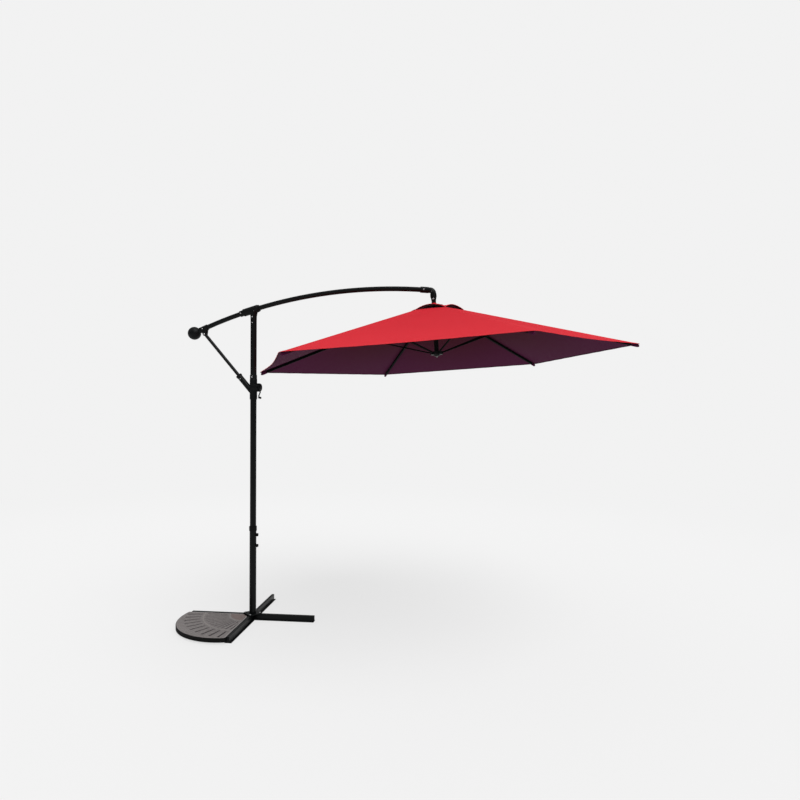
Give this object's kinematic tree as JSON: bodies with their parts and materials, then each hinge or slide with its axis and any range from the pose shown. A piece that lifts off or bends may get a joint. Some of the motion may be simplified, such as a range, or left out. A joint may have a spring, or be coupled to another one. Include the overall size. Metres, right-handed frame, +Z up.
{
  "type": "cantilever patio umbrella",
  "caption": "Side-post patio umbrella: round mast on a crossed-bar foot with a fan-shaped weight, arched boom, crank winch and hexagonal folding canopy.",
  "frame": {"origin": "on the mast's axis at the ground, in the middle of the crossed bars' underside", "axes": "+Z up, +X along the boom from the mast towards the canopy, +Y to the left of the boom"},
  "size_m": [3.301, 2.3382, 2.4684],
  "materials": {
    "frame_paint": "satin",
    "black_plastic": "satin",
    "grip_plastic": "matte",
    "zinc_steel": "satin",
    "weight_stone": "matte",
    "canopy_cloth": "matte",
    "cord_cloth": "matte"
  },
  "bodies": {
    "foot": {"cross_bar_a": "frame_paint", "cross_bar_b": "frame_paint", "bar_end_caps": "black_plastic", "foot_plate": "frame_paint", "foot_bolts": "zinc_steel", "foot_nuts": "zinc_steel", "fan_weight": "weight_stone", "lower_mast": "frame_paint", "mast_rest": "black_plastic", "mast_collar": "black_plastic"},
    "knob_upper": {"clamp_knob_upper": "grip_plastic"},
    "knob_lower": {"clamp_knob_lower": "grip_plastic"},
    "mast": {"upper_mast": "frame_paint", "winch_housing": "black_plastic", "winch_cover": "black_plastic", "shaft_bushes": "zinc_steel", "strut": "frame_paint", "strut_bolt": "zinc_steel", "boom": "frame_paint", "rear_bracket": "black_plastic", "boom_ball": "black_plastic", "mast_head": "black_plastic", "frame_screws": "zinc_steel", "pulley_pins": "zinc_steel", "elbow": "frame_paint", "hanger": "black_plastic", "top_hub": "black_plastic", "hub_pins": "zinc_steel", "lift_cord": "cord_cloth"},
    "button": {"strut_button": "zinc_steel"},
    "crank": {"winch_shaft": "zinc_steel", "winch_spool": "black_plastic", "cord_winding": "cord_cloth", "crank_arm": "black_plastic"},
    "grip": {"crank_grip": "grip_plastic"},
    "pulley_mast": {"mast_pulley": "black_plastic"},
    "pulley_elbow": {"elbow_pulley": "black_plastic"},
    "runner_group": {"runner": "black_plastic", "runner_pins": "zinc_steel", "stem_tube": "frame_paint", "stem_cord": "cord_cloth"},
    "rib_1_group": {"rib_1": "frame_paint", "canopy_1": "canopy_cloth"},
    "stretcher_1_group": {"stretcher_1": "frame_paint"},
    "rib_2_group": {"rib_2": "frame_paint", "canopy_2": "canopy_cloth"},
    "stretcher_2_group": {"stretcher_2": "frame_paint"},
    "rib_3_group": {"rib_3": "frame_paint", "canopy_3": "canopy_cloth"},
    "stretcher_3_group": {"stretcher_3": "frame_paint"},
    "rib_4_group": {"rib_4": "frame_paint", "canopy_4": "canopy_cloth"},
    "stretcher_4_group": {"stretcher_4": "frame_paint"},
    "rib_5_group": {"rib_5": "frame_paint", "canopy_5": "canopy_cloth"},
    "stretcher_5_group": {"stretcher_5": "frame_paint"},
    "rib_6_group": {"rib_6": "frame_paint", "canopy_6": "canopy_cloth"},
    "stretcher_6_group": {"stretcher_6": "frame_paint"}
  },
  "joints": [
    {"name": "mast_turn", "type": "hinge", "parent": "foot", "child": "mast", "pos_m": [0, 0, 0.6], "axis": [0, 0, 1], "continuous": true},
    {"name": "clamp_knob_upper_turn", "type": "hinge", "parent": "foot", "child": "knob_upper", "pos_m": [0.028, 0, 0.634], "axis": [1, 0, 0], "continuous": true},
    {"name": "clamp_knob_lower_turn", "type": "hinge", "parent": "foot", "child": "knob_lower", "pos_m": [0.028, 0, 0.553], "axis": [1, 0, 0], "continuous": true},
    {"name": "rib_1_fold", "type": "hinge", "parent": "mast", "child": "rib_1_group", "pos_m": [1.41766, 0, 2.29061], "axis": [0, 1, 0], "range_deg": [0, 70], "deforming": ["canopy_1", "canopy_2", "canopy_3", "canopy_4", "canopy_5", "canopy_6"]},
    {"name": "rib_2_fold", "type": "hinge", "parent": "mast", "child": "rib_2_group", "pos_m": [1.40169, 0.02771, 2.28969], "axis": [-0.8646, 0.5, -0.0499], "range_deg": [0, 70]},
    {"name": "rib_3_fold", "type": "hinge", "parent": "mast", "child": "rib_3_group", "pos_m": [1.36974, 0.02771, 2.28784], "axis": [-0.8646, -0.5, -0.0499], "range_deg": [0, 70]},
    {"name": "rib_4_fold", "type": "hinge", "parent": "mast", "child": "rib_4_group", "pos_m": [1.35377, 0, 2.28692], "axis": [0, -1, 0], "range_deg": [0, 70]},
    {"name": "rib_5_fold", "type": "hinge", "parent": "mast", "child": "rib_5_group", "pos_m": [1.36974, -0.02771, 2.28784], "axis": [0.8646, -0.5, 0.0499], "range_deg": [0, 70]},
    {"name": "rib_6_fold", "type": "hinge", "parent": "mast", "child": "rib_6_group", "pos_m": [1.40169, -0.02771, 2.28969], "axis": [0.8646, 0.5, 0.0499], "range_deg": [0, 70]},
    {"name": "stretcher_1_fold", "type": "hinge", "parent": "rib_1_group", "child": "stretcher_1_group", "pos_m": [1.96353, 0, 2.16559], "axis": [0, 1, 0], "range_deg": [-140, 0]},
    {"name": "stretcher_2_fold", "type": "hinge", "parent": "rib_2_group", "child": "stretcher_2_group", "pos_m": [1.67912, 0.49343, 2.14919], "axis": [-0.8646, 0.5, -0.0499], "range_deg": [-140, 0]},
    {"name": "stretcher_3_fold", "type": "hinge", "parent": "rib_3_group", "child": "stretcher_3_group", "pos_m": [1.1103, 0.49343, 2.11639], "axis": [-0.8646, -0.5, -0.0499], "range_deg": [-140, 0]},
    {"name": "stretcher_4_fold", "type": "hinge", "parent": "rib_4_group", "child": "stretcher_4_group", "pos_m": [0.82589, 0, 2.09999], "axis": [0, -1, 0], "range_deg": [-140, 0]},
    {"name": "stretcher_5_fold", "type": "hinge", "parent": "rib_5_group", "child": "stretcher_5_group", "pos_m": [1.1103, -0.49343, 2.11639], "axis": [0.8646, -0.5, 0.0499], "range_deg": [-140, 0]},
    {"name": "stretcher_6_fold", "type": "hinge", "parent": "rib_6_group", "child": "stretcher_6_group", "pos_m": [1.67912, -0.49343, 2.14919], "axis": [0.8646, 0.5, 0.0499], "range_deg": [-140, 0]},
    {"name": "runner_swing", "type": "hinge", "parent": "stretcher_1_group", "child": "runner_group", "pos_m": [1.43565, 0, 1.97866], "axis": [0, 1, 0], "range_deg": [0, 70]},
    {"name": "crank_turn", "type": "hinge", "parent": "mast", "child": "crank", "pos_m": [0.048, 0, 1.744], "axis": [1, 0, 0], "range_deg": [0, 2870]},
    {"name": "crank_grip_spin", "type": "hinge", "parent": "crank", "child": "grip", "pos_m": [0.055, 0, 1.666], "axis": [1, 0, 0], "continuous": true},
    {"name": "mast_pulley_turn", "type": "hinge", "parent": "mast", "child": "pulley_mast", "pos_m": [0.012, 0, 2.3228], "axis": [0, 1, 0], "range_deg": [0, 3850]},
    {"name": "elbow_pulley_turn", "type": "hinge", "parent": "mast", "child": "pulley_elbow", "pos_m": [1.3704, 0, 2.41543], "axis": [0, 1, 0], "range_deg": [0, 5775]},
    {"name": "strut_button_press", "type": "slide", "parent": "mast", "child": "button", "axis": [0, 1, 0], "range_m": [0, 0.0045], "stiffness_N_per_m": 400, "springref_m": -0.002}
  ],
  "couplings": [
    {"joint": "rib_2_fold", "follows": "rib_1_fold", "ratio": 1},
    {"joint": "rib_3_fold", "follows": "rib_1_fold", "ratio": 1},
    {"joint": "rib_4_fold", "follows": "rib_1_fold", "ratio": 1},
    {"joint": "rib_5_fold", "follows": "rib_1_fold", "ratio": 1},
    {"joint": "rib_6_fold", "follows": "rib_1_fold", "ratio": 1},
    {"joint": "stretcher_1_fold", "follows": "rib_1_fold", "ratio": -2},
    {"joint": "stretcher_2_fold", "follows": "rib_1_fold", "ratio": -2},
    {"joint": "stretcher_3_fold", "follows": "rib_1_fold", "ratio": -2},
    {"joint": "stretcher_4_fold", "follows": "rib_1_fold", "ratio": -2},
    {"joint": "stretcher_5_fold", "follows": "rib_1_fold", "ratio": -2},
    {"joint": "stretcher_6_fold", "follows": "rib_1_fold", "ratio": -2},
    {"joint": "runner_swing", "follows": "rib_1_fold", "ratio": 1},
    {"joint": "crank_turn", "follows": "rib_1_fold", "ratio": 41},
    {"joint": "mast_pulley_turn", "follows": "rib_1_fold", "ratio": 55},
    {"joint": "elbow_pulley_turn", "follows": "rib_1_fold", "ratio": 82.5}
  ]
}
